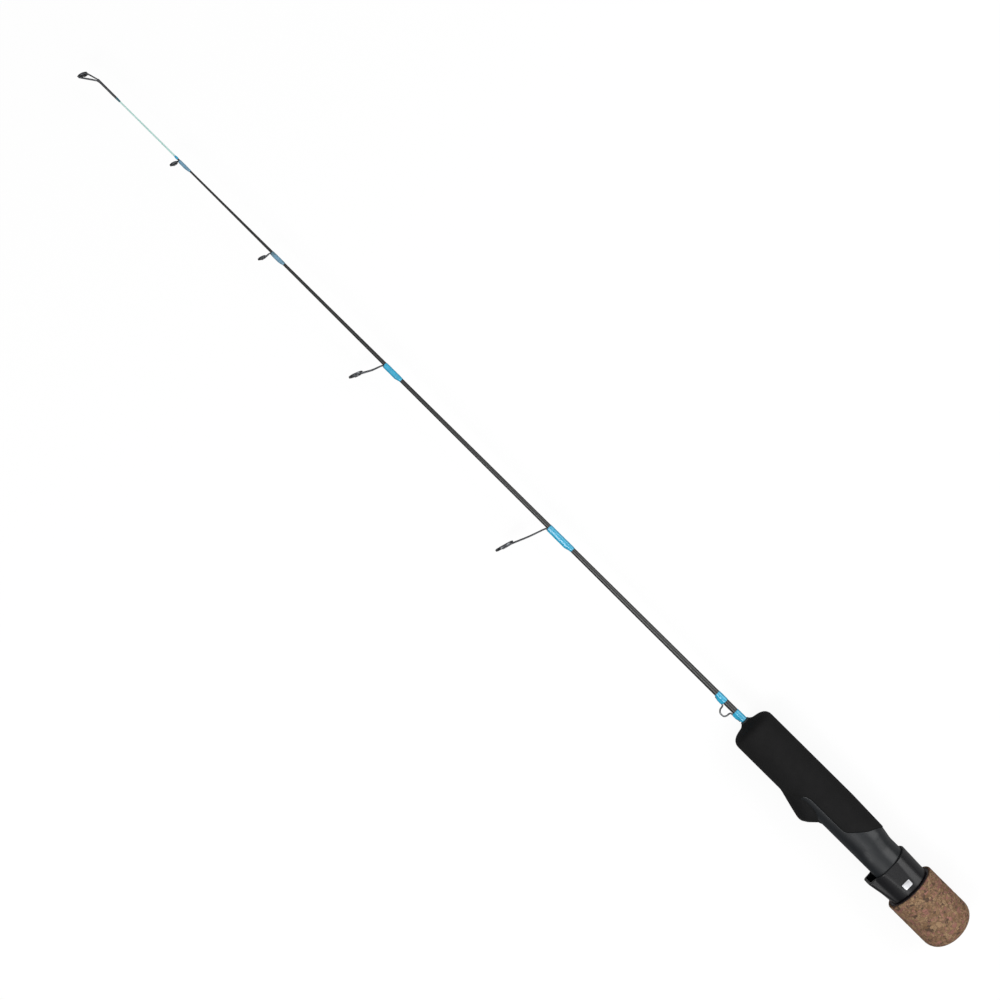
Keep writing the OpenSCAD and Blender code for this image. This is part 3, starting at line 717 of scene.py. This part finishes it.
def foam_reach(x):
    """Angle from the grip's back to the foam's edge: the arc cosine of the edge's height over the radius."""
    height = np.interp(x, EDGE_LINE[::-1, 0], EDGE_LINE[::-1, 1])
    reach = np.arccos(np.clip(-height / grip_radius(x), -1, 1))
    reach = np.where(x <= TONGUE_TIP, 0, reach)
    return np.where(x >= CLOSE_X, np.pi, reach)


def edge_places():
    """Places along the rod where the foam's edge is cut into rows, close together at the tongue's tip."""
    line = EDGE_LINE[(EDGE_LINE[:, 0] < CLOSE_X) & (EDGE_LINE[:, 0] > TONGUE_TIP + 0.8), 0][::-1]
    return np.r_[TONGUE_TIP + np.array([0, 0.03, 0.08, 0.16, 0.3, 0.5, 0.75]), line, CLOSE_X]


def fan(reach, count):
    """Angles from -reach to reach, close together near both ends so that the rolled edges are smooth."""
    near = np.array([0, 0.05, 0.14, 0.27, 0.43, 0.6, 0.8])
    scale = np.minimum(1, reach * GRIP_R / 2)
    ends = near[None, :] * (scale / GRIP_R)[:, None]
    inside = reach - ends[:, -1]
    middle = np.linspace(-1, 1, count)[None, 1:-1] * inside[:, None]
    return np.concatenate([-reach[:, None] + ends, middle, (reach[:, None] - ends)[:, ::-1]], axis=1)


def split_wall(points, rows):
    """Strips that join the ends of some outer rows to those of the inner rows as far from the grid's last."""
    pairs = [np.stack([points[rows, col], points[-1 - rows, col]], axis=1) for col in (0, -1)]
    return [skin(pair, close_cols=False) for pair in pairs]


def make_foregrip():
    """Foregrip: a sheet over the outside, the nose, the bore and the hollow for the seat. Its rows span the
    angle that the foam's edge leaves, so it is a tongue at the rear and a full turn in front."""
    nose_x = span("foregrip")[1]
    places = edge_places()
    outer_x = np.r_[places, np.linspace(CLOSE_X + 0.4, nose_x - 14.4, 44)]
    outer_r = grip_radius(outer_x)
    nose = eased([(nose_x - 14, GRIP_R, 0), (nose_x - 4.0, GRIP_R, 5.2), (nose_x - 1.6, 4.9, 2.6),
                  (nose_x, 2.95, 0.5), (nose_x, 2.03, 0.1), (SEAT_FRONT, 2.2, 0.1),
                  (SEAT_FRONT, CORE_R, 0)])[9:-9]
    inner_x = places[::-1]
    x = np.r_[outer_x, nose[:, 0], inner_x]
    r = np.r_[outer_r, nose[:, 1], np.full(len(inner_x), CORE_R)]
    reach = foam_reach(x)
    angle = fan(reach, 72)
    ease = 0.75 * np.clip((CLOSE_X - outer_x) / 3, 0.0001, 1)
    ease *= np.clip((outer_x - TONGUE_TIP) / 0.4 + 0.4, 0, 1)
    distance = (reach[:, None] - np.abs(angle)) * GRIP_R
    radius = np.repeat(r[:, None], angle.shape[1], axis=1)
    count = len(outer_x)
    radius[:count] -= rolled(distance[:count], ease[:, None])
    points = turned(x, radius, np.pi - angle)
    skins = [skin(points, close_cols=False)] + split_wall(points, np.arange(len(places)))
    piece("foam_foregrip", skins, "rod", FOAM, ["foregrip"], crease=50)


def hump_radius(x):
    """Height of the fixed hood's back over the rod's axis, along it."""
    line = eased([(18.9, 11.1, 0), (21.9, 12.5, 1.5), (27.4, 15.9, 1.2), (31.3, 18.3, 1.3), (33.7, 18.3, 1.3),
                  (38.8, 17.15, 3.0), (51.8, 13.75, 1.5), (60, 13.7, 0), (60, 0, 0), (19, 0, 0)])[:-18]
    return np.interp(x, line[:, 0], line[:, 1])


def make_seat():
    """Reel seat: core, bare skin with the flat for the reel's foot, sleeve and barrel, and the fixed hood in
    its dull black finish."""
    rear, front = span("reel_seat")
    outer = CORE_R - 0.05
    core = eased([(front, outer, 0.1), (-7, outer, 0.1), (-7, BORE_R, 0.1), (front, BORE_R, 0.1)])
    skins = [lathe(core)] + bare_skin() + [sleeve_and_barrel(rear)]
    piece("seat_moulding", skins, "rod", SEAT, ["reel_seat"], crease=34)
    piece("seat_front_hood", [fixed_hood()], "rod", DULL, ["reel_seat"], crease=34)


def bare_skin():
    """Skin that the foam leaves bare: the grip's radius less a small step, cut flat under the reel's foot,
    rolled down along the foam's edge, and blended behind into the off-centre circle of the sleeve. From the
    rod's axis to that circle it is s cos a + sqrt(R^2 - (s sin a)^2), s its shift and R its radius."""
    places = edge_places()
    corner = SLEEVE_REAR + np.array([0, 0.04, 0.14, 0.32, 0.6])
    behind = np.r_[corner, np.linspace(SLEEVE_REAR + 0.9, -5.3, 34)]
    x = np.r_[behind, places]
    reach = np.pi - foam_reach(x)
    angle = fan(reach, 90)
    sleeve = BARREL_Y * np.cos(angle) + np.sqrt(SLEEVE_R**2 - (BARREL_Y * np.sin(angle)) ** 2)
    share = np.interp(x, [-13.2, -11.8, -4.6, -3.2], [0, 0.08, 0.92, 1])[:, None]
    skin_r = (grip_radius(x) - SKIN_GAP)[:, None]
    base = sleeve + (skin_r - sleeve) * share - rolled(x - SLEEVE_REAR, 0.5)[:, None]
    flat = FOOT_H / np.maximum(np.cos(angle), 1e-3)
    flat = np.where(np.cos(angle) > 0.2, flat, 99.0)
    flat = np.where(x[:, None] > 41, flat + 40 * (x[:, None] - 41), flat)
    radius = lowest(base, flat, 70)
    ease = 0.5 * np.clip((CLOSE_X - x) / 3, 0.0001, 1) * np.clip((x - TONGUE_TIP + 0.3) / 0.5, 0.0001, 1)
    distance = (reach[:, None] - np.abs(angle)) * GRIP_R
    radius -= rolled(distance, ease[:, None])
    outer = turned(x, radius, angle)
    inner = turned(x[::-1], np.full(len(x), CORE_R - 0.4), angle[::-1])
    points = np.concatenate([outer, inner])
    rows = np.arange(len(behind), len(x))
    return [skin(points, close_rows=True, close_cols=False)] + split_wall(points, rows)


def fixed_hood():
    """Fixed hood: a hump that is round in section about a line over the rod's axis, and a pocket that is a
    rounded box. Each angle is one closed outline: back, rolled mouth, pocket roof and end, underside."""
    half = np.radians(60)
    angle = half * np.sin(np.linspace(-1, 1, 97) * np.pi / 2)
    size = np.abs(angle)
    roof = lowest(ROOF / np.cos(size), ROOF_HALF / np.maximum(np.sin(size), 1e-3), 9)
    table_x = np.linspace(22, 34, 200)
    rim = 1.15
    mouth = np.interp(np.clip(roof + rim, 12.8, 17.0), np.maximum.accumulate(hump_radius(table_x)), table_x)
    bell = np.hanning(19)
    mouth = np.convolve(np.pad(mouth, 9, mode="edge"), bell / bell.sum(), mode="valid")
    t = np.linspace(0, 1, 70)[:, None]
    front = SEAT_FRONT - 0.3
    back_x = front - (front - mouth[None, :]) * (1 - (1 - t) ** 1.15)
    base = grip_radius(back_x) - SKIN_GAP
    across = (HUMP_Y * np.sin(angle))[None, :]
    root = np.sqrt(np.maximum((hump_radius(back_x) - HUMP_Y) ** 2 - across**2, 0.01))
    hump = HUMP_Y * np.cos(angle)[None, :] + root
    line = np.interp(back_x, [22, 30, 38, 42.5, 46], [10.7, 10.2, 8.7, 6.6, 0.0])
    lift = np.clip((hump * np.cos(angle)[None, :] - line) / 0.7 + 0.5, 0, 1)
    under = base - 0.2 + 0.29 * np.clip((back_x - 41.0) / 2.0, 0, 1)
    back_r = under + np.maximum(hump - under, 0) * lift
    turn = np.linspace(0, np.pi, 9)[1:-1, None]
    top = back_r[-1:]
    low = np.minimum(roof[None, :], top - 0.3)
    rim_r = (top + low) / 2 + (top - low) / 2 * np.cos(turn)
    rim_x = mouth[None, :] - 0.42 * np.sin(turn)
    roof_x = mouth[None, :] + (POCKET_END - mouth[None, :]) * np.linspace(0, 1, 24)[:, None]
    roof_r = np.repeat(low, 24, axis=0)
    inside = CORE_R - 0.5
    end_r = low + (inside - low) * np.linspace(0, 1, 5)[1:, None]
    x = np.concatenate([back_x, rim_x, roof_x, np.full_like(end_r, POCKET_END), np.full_like(low, front)])
    r = np.concatenate([back_r, rim_r, roof_r, end_r, np.full_like(low, inside)])
    points = np.stack([x, r * np.cos(angle), r * np.sin(angle)], axis=-1)
    return skin(np.swapaxes(points, 0, 1), ends=True)


def sleeve_and_barrel(rear):
    """Inner tube behind the seat and the barrel with its helical thread: the thread's height is a blunt tooth
    of place over pitch, less the part of a turn."""
    angle = around(96)
    tube_front = -12.0
    barrel_x = np.linspace(SLEEVE_REAR + 0.1, rear, 190)
    phase = (barrel_x[:, None] / THREAD_PITCH - angle[None, :] / TAU) % 1
    ridge = np.clip(1.6 - np.abs(phase - 0.5) * 5, 0, 1)
    run_out = np.clip((barrel_x - rear) / 2, 0, 1) * np.clip((-24.5 - barrel_x) / 2, 0, 1)
    barrel_r = BARREL_R + THREAD_HEIGHT * ridge * run_out[:, None]
    x = np.r_[tube_front, SLEEVE_REAR + 0.1, barrel_x, rear, tube_front]
    r = np.concatenate([np.full((2, 96), 10.4), barrel_r, np.full((2, 96), BORE_R - 0.05)])
    y = np.r_[0.0, 0.0, np.full(len(barrel_x), BARREL_Y), 0.0, 0.0]
    return skin(turned(x, r, angle, y), close_rows=True)


def make_check():
    """Winding check: a small rounded ring against the foam's nose."""
    rear, front = span("winding_check")
    ring = eased([(rear, 2.0, 0.05), (rear, 3.05, 0.15), (front, 2.55, 0.35), (front, 2.0, 0.05)])
    piece("winding_check_ring", [lathe(ring, sides=72)], "rod", RUBBER, ["winding_check"])


# ---------------------------------------------------------------- sliding hood, nut and cork knob

HOOD_REAR, HOOD_FRONT = span("sliding_hood")
# The hood's radii at its rear and front, its side flats' distance and rear end, its back's height and slope.
RING_R = [13.4, 14.1]
SIDE_FLAT = 13.2
FLAT_REAR = HOOD_REAR + 3.1
BACK_H = 16.95
BACK_SLOPE = 10.3
# Its pocket's roof and half width, and the radii of the cavity for the sleeve and of the collar on the nut.
HOOD_ROOF = 15.3
HOOD_ROOF_HALF = 6.8
CAVITY_R = 12.7
COLLAR_R = 11.0
CORK_R = 16.38


def make_hood():
    """Sliding hood: a ring with side flats joined to a rounded pocket shell whose back slopes to the rear.
    Each angle is one closed outline: outside, front edge, pocket or cavity, collar and rear edge."""
    angle = around(160)
    cos = np.cos(angle)[None, :]
    sin = np.maximum(np.abs(np.sin(angle)), 1e-3)[None, :]
    up = cos > 0.15
    ease = 0.55
    flat_step = np.array([-0.12, -0.06, 0.0, 0.06, 0.12]) + FLAT_REAR
    x = np.sort(np.r_[stations(HOOD_REAR, HOOD_FRONT, 40, ease, ease, 8), flat_step])
    back = BACK_H + np.tan(np.radians(BACK_SLOPE)) * (x - HOOD_FRONT + 0.6) - BARREL_Y
    ring = np.interp(x, [HOOD_REAR, HOOD_FRONT], RING_R)[:, None]
    on_flat = np.clip((x - FLAT_REAR) / 0.24 + 0.5, 0, 1)[:, None]
    side = SIDE_FLAT / sin + (1 - on_flat) * 5
    ring = lowest(np.repeat(ring, 160, axis=1), side, 90)
    shell = lowest(back[:, None] / np.maximum(cos, 0.15), 8.8 / sin, 12)
    outside = np.where(up, highest(ring, shell, 26), ring)
    outside -= rolled(np.minimum(x - HOOD_REAR, HOOD_FRONT - x), ease)[:, None]
    cavity_x = stations(HOOD_FRONT, HOOD_FRONT - 10.2, 26, 0.3, 0.0, 5)
    collar_x = np.r_[HOOD_REAR + 4.5, stations(HOOD_REAR + 4.4, HOOD_REAR, 5, 0.0, 0.25, 5)]
    inner_x = np.r_[cavity_x, collar_x]
    fall = np.minimum(0, (inner_x - HOOD_FRONT + 4) * 0.182)[:, None]
    pocket = lowest((HOOD_ROOF - BARREL_Y + fall) / np.maximum(cos, 0.15), HOOD_ROOF_HALF / sin, 12)
    in_pocket = np.clip((inner_x - HOOD_FRONT + 10.0) / 0.3, 0, 1)[:, None]
    hollow = np.where(up, np.maximum(CAVITY_R, CAVITY_R + (pocket - CAVITY_R) * in_pocket), CAVITY_R)
    hollow[len(cavity_x):] = COLLAR_R
    hollow += rolled(HOOD_FRONT - inner_x, 0.3)[:, None] + rolled(inner_x - HOOD_REAR, 0.25)[:, None]
    radius = np.concatenate([outside, hollow])
    body = skin(turned(np.r_[x, inner_x], radius, angle, BARREL_Y), close_rows=True)
    piece("hood_moulding", [body], "hood", HOOD, ["sliding_hood"], crease=36)


def plate(side):
    """Small plate let into the hood's side: a rounded oblong, rolled over at its rim."""
    low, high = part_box("hood_inlays")
    x0, x1 = low.x / MM, high.x / MM
    half_y = (high.y - low.y) / MM / 2
    half_x = (x1 - x0) / 2
    centre = np.array([(x0 + x1) / 2, BARREL_Y])
    outline = eased([(a * half_x, b * half_y, 0.7) for a, b in ((-1, -1), (1, -1), (1, 1), (-1, 1))])
    outer = (high.z - low.z) / MM / 2
    inset = np.array([0, 0, 0.02, 0.06, 0.12, 0.2])
    lift = np.array([-0.6, -0.2, -0.1, -0.05, -0.02, 0])
    scale = 1 - inset[:, None, None] / np.array([half_x, half_y])
    flat = centre + outline[None] * scale
    height = np.repeat((outer + lift)[:, None, None], outline.shape[0], axis=1)
    return skin(np.concatenate([flat, side * height], axis=-1), ends=True)


def make_knob():
    """Lock nut and cork knob, turned about the barrel's axis. The knob's end is a superellipse of power 2.2.
    The pits sink towards the axis, or towards a point on it where the end is rounded."""
    nut_rear, nut_front = span("lock_nut")
    face = HOOD_REAR - 0.35
    nut = eased([(nut_rear, 9.6, 0.3), (nut_rear, 12.4, 0.4), (face - 2, 12.4, 0.1), (face - 2, 14.75, 0.3),
                 (face, 14.75, 0.55), (face, 10.85, 0.1), (nut_front - 1, 10.85, 0.1),
                 (nut_front - 1, 11.8, 0.15), (nut_front, 11.1, 0.15), (nut_front, 9.6, 0.2)])
    piece("lock_nut_turned", [lathe(nut, BARREL_Y, 128)], "knob", NUT, ["lock_nut"])
    rear, front = span("cork_knob")
    turn = np.radians(np.linspace(0, 90, 26))[:, None]
    blunt = 2 / 2.2
    cap = np.hstack([rear + 11.12 - 11.1 * np.cos(turn) ** blunt, CORK_R * np.sin(turn) ** blunt])
    back = nut_rear - 0.1
    pit = nut_rear - 11.4
    side = eased([(rear + 12, CORK_R, 0), (front - 12, CORK_R, 1), (front, CORK_R, 0.85),
                  (front, 14.95, 0.35), (front - 2.3, 14.85, 0.1), (front - 2.3, 12.45, 0.1),
                  (back, 12.45, 0.2), (back, 10.0, 0.3), (pit, 10.0, 0.5), (pit, 0, 0)], 9)[11:-10]
    outline = finer(np.concatenate([cap, side]), 0.42)
    points = turned(outline[:, 0], outline[:, 1:], around(280))
    shown = (np.arange(len(outline)) < np.argmax(outline[:, 0] > front - 0.1)) & (outline[:, 1] > 0.5)
    outwards = points.copy()
    outwards[..., 0] = np.minimum(points[..., 0] - (rear + 14), 0)
    outwards /= np.maximum(np.linalg.norm(outwards, axis=-1, keepdims=True), 1e-6)
    points -= outwards * pits(points, 900, 31)[..., None] * shown[:, None, None]
    points[..., 1] += BARREL_Y
    piece("cork_butt", [skin(points)], "knob", CORK, ["cork_knob"], crease=55)


def finer(outline, step):
    """The same outline with extra points, so that no two are further apart than a step."""
    gap = np.linalg.norm(np.diff(outline, axis=0), axis=1)
    cuts = np.maximum(1, np.ceil(gap / step)).astype(int)
    along = np.repeat(np.arange(len(gap)), cuts)
    start = np.repeat(np.cumsum(cuts) - cuts, cuts)
    part = (np.arange(cuts.sum()) - start) / np.repeat(cuts, cuts)
    dense = outline[along] + (outline[along + 1] - outline[along]) * part[:, None]
    return np.concatenate([dense, outline[-1:]])


def pits(points, count, seed):
    """Depth of small hollows in the cork: a bell round each of some scattered places on its side, the deepest
    near 0.3 mm, plus very slight waves where the crumbs stand proud or low."""
    random = np.random.default_rng(seed)
    low = points.reshape(-1, 3).min(0)
    size = points.reshape(-1, 3).max(0) - low
    turn = random.uniform(0, TAU, count)
    place = low[0] + size[0] * random.uniform(0, 1, count)
    radius = np.where(random.uniform(0, 1, count) < 0.85, CORK_R, random.uniform(3, 16, count))
    at = np.stack([place, radius * np.cos(turn), radius * np.sin(turn)], axis=1)
    wide = random.uniform(0.25, 0.8, count)
    deep = random.uniform(0.03, 0.24, count) * (wide / 0.8)
    sink = np.zeros(points.shape[:2])
    for first in range(0, count, 60):
        part = slice(first, first + 60)
        gap = ((points[:, :, None] - at[None, None, part]) ** 2).sum(-1)
        sink += (deep[part] * np.exp(-gap / wide[part] ** 2)).sum(-1)
    x, y, z = np.moveaxis(points, -1, 0)
    waves = 0.035 * (1 + np.sin(x * 2.1 + y * 1.3) * np.cos(y * 1.9 - z * 1.4) * np.sin(z * 1.7 + x * 0.6))
    return np.minimum(sink, 0.32) + waves


make_blank()
make_tip()
# Each guide from the tip: radius of its wire, bow of its legs, and finish of its wrap.
GUIDES = [(0.32, 0.0, DULL_BLUE), (0.34, 0.0, DULL_BLUE), (0.42, -0.45, BLUE), (0.48, -0.3, BLUE)]
for place, (wire, bow, finish) in enumerate(GUIDES):
    make_guide(place + 1, wire, bow, finish)
make_tip_top()
make_keeper()
make_check()
make_foregrip()
make_seat()
make_hood()
piece("hood_plates", [plate(1), plate(-1)], "hood", BRIGHT, ["hood_inlays"])
make_knob()
for node in ("front_arbor", "rear_arbor"):
    arbor = frame["nodes"][node]
    arbor.data.materials.clear()
    arbor.data.materials.append(ARBOR)


# ---------------------------------------------------------------- floor, light and camera

def fresh_nodes(owner, *kinds):
    """Empties a material's or a world's node tree, and adds one node of each kind to it."""
    owner.use_nodes = True
    owner.node_tree.nodes.clear()
    return [owner.node_tree.nodes.new("ShaderNode" + kind) for kind in kinds]


def join(owner, *pairs):
    """Links each pair of an output and an input."""
    for start, end in pairs:
        owner.node_tree.links.new(start, end)


def make_stage():
    """Pale floor under the rod."""
    mesh = bpy.data.meshes.new("floor")
    reach = 6.0
    height = cad_low.z - 0.0002
    corners = [(reach * a, reach * b, height) for a, b in ((-1, -1), (1, -1), (1, 1), (-1, 1))]
    mesh.from_pydata(corners, [], [(0, 1, 2, 3)])
    floor = bpy.data.objects.new("floor", mesh)
    bpy.context.scene.collection.objects.link(floor)
    material = bpy.data.materials.new("floor_pale")
    out, glow, matte, dull, both, pick, path = fresh_nodes(
        material, "OutputMaterial", "Emission", "BsdfDiffuse", "BsdfDiffuse", "AddShader", "MixShader",
        "LightPath")
    glow.inputs["Strength"].default_value = 0.9
    matte.inputs["Color"].default_value = (0.3, 0.3, 0.3, 1)
    dull.inputs["Color"].default_value = (0.1, 0.1, 0.1, 1)
    join(material, (glow.outputs[0], both.inputs[0]), (dull.outputs[0], both.inputs[1]),
         (path.outputs["Is Camera Ray"], pick.inputs[0]), (matte.outputs[0], pick.inputs[1]),
         (both.outputs[0], pick.inputs[2]), (pick.outputs[0], out.inputs["Surface"]))
    mesh.materials.append(material)


def make_room():
    """Room light: bright overhead, fading to a dim horizon; straight views of it are plain pale."""
    world = bpy.data.worlds.new("room")
    bpy.context.scene.world = world
    out, spot, split, ramp, shine, pale, pick, path = fresh_nodes(
        world, "OutputWorld", "TexCoord", "SeparateXYZ", "ValToRGB", "Background", "Background", "MixShader",
        "LightPath")
    marks = ramp.color_ramp.elements
    marks[0].color = (0.08, 0.08, 0.08, 1)
    marks[1].color = (1, 1, 1, 1)
    marks.new(0.45).color = (0.25, 0.25, 0.25, 1)
    marks.new(0.75).color = (0.7, 0.7, 0.7, 1)
    shine.inputs["Strength"].default_value = 0.8
    pale.inputs["Color"].default_value = (0.97, 0.97, 0.97, 1)
    join(world, (spot.outputs["Generated"], split.inputs[0]), (split.outputs["Z"], ramp.inputs[0]),
         (ramp.outputs[0], shine.inputs[0]), (path.outputs["Is Camera Ray"], pick.inputs[0]),
         (shine.outputs[0], pick.inputs[1]), (pale.outputs[0], pick.inputs[2]),
         (pick.outputs[0], out.inputs["Surface"]))


def soft_light(name, location, target, size, watts):
    """Large square softbox aimed at a point."""
    lamp = bpy.data.lights.new(name, "AREA")
    lamp.shape = "SQUARE"
    lamp.size = size
    lamp.energy = watts
    holder = bpy.data.objects.new(name, lamp)
    bpy.context.scene.collection.objects.link(holder)
    holder.location = location
    aim = Vector(target) - Vector(location)
    holder.rotation_euler = aim.to_track_quat("-Z", "Y").to_euler()


def make_camera():
    """Camera a metre over the rod's side, looking straight down at it, with the tip up and to the left."""
    data = bpy.data.cameras.new("camera")
    data.sensor_width = 36
    data.lens = 62.07
    data.clip_start = 0.01
    camera = bpy.data.objects.new("camera", data)
    bpy.context.scene.collection.objects.link(camera)
    right = Vector((-0.7104, -0.7038, 0)).normalized()
    back = Vector((0, 0, 1))
    up = back.cross(right)
    place = Vector((0.2858, -0.002, 1.0))
    turn = Matrix((right, up, back)).transposed().to_4x4()
    camera.matrix_world = Matrix.Translation(place) @ turn
    bpy.context.scene.camera = camera


make_stage()
make_room()
soft_light("overhead", (0.1, 0.75, 1.0), (0.2, 0.0, 0.0), 0.5, 6)
soft_light("back_fill", (-0.1, -0.9, 0.7), (0.0, 0.0, 0.0), 0.9, 7)
soft_light("butt_side", (-0.7, 0.3, 0.8), (0.0, 0.0, 0.0), 0.6, 3)
make_camera()
bpy.context.scene.view_settings.view_transform = "Standard"
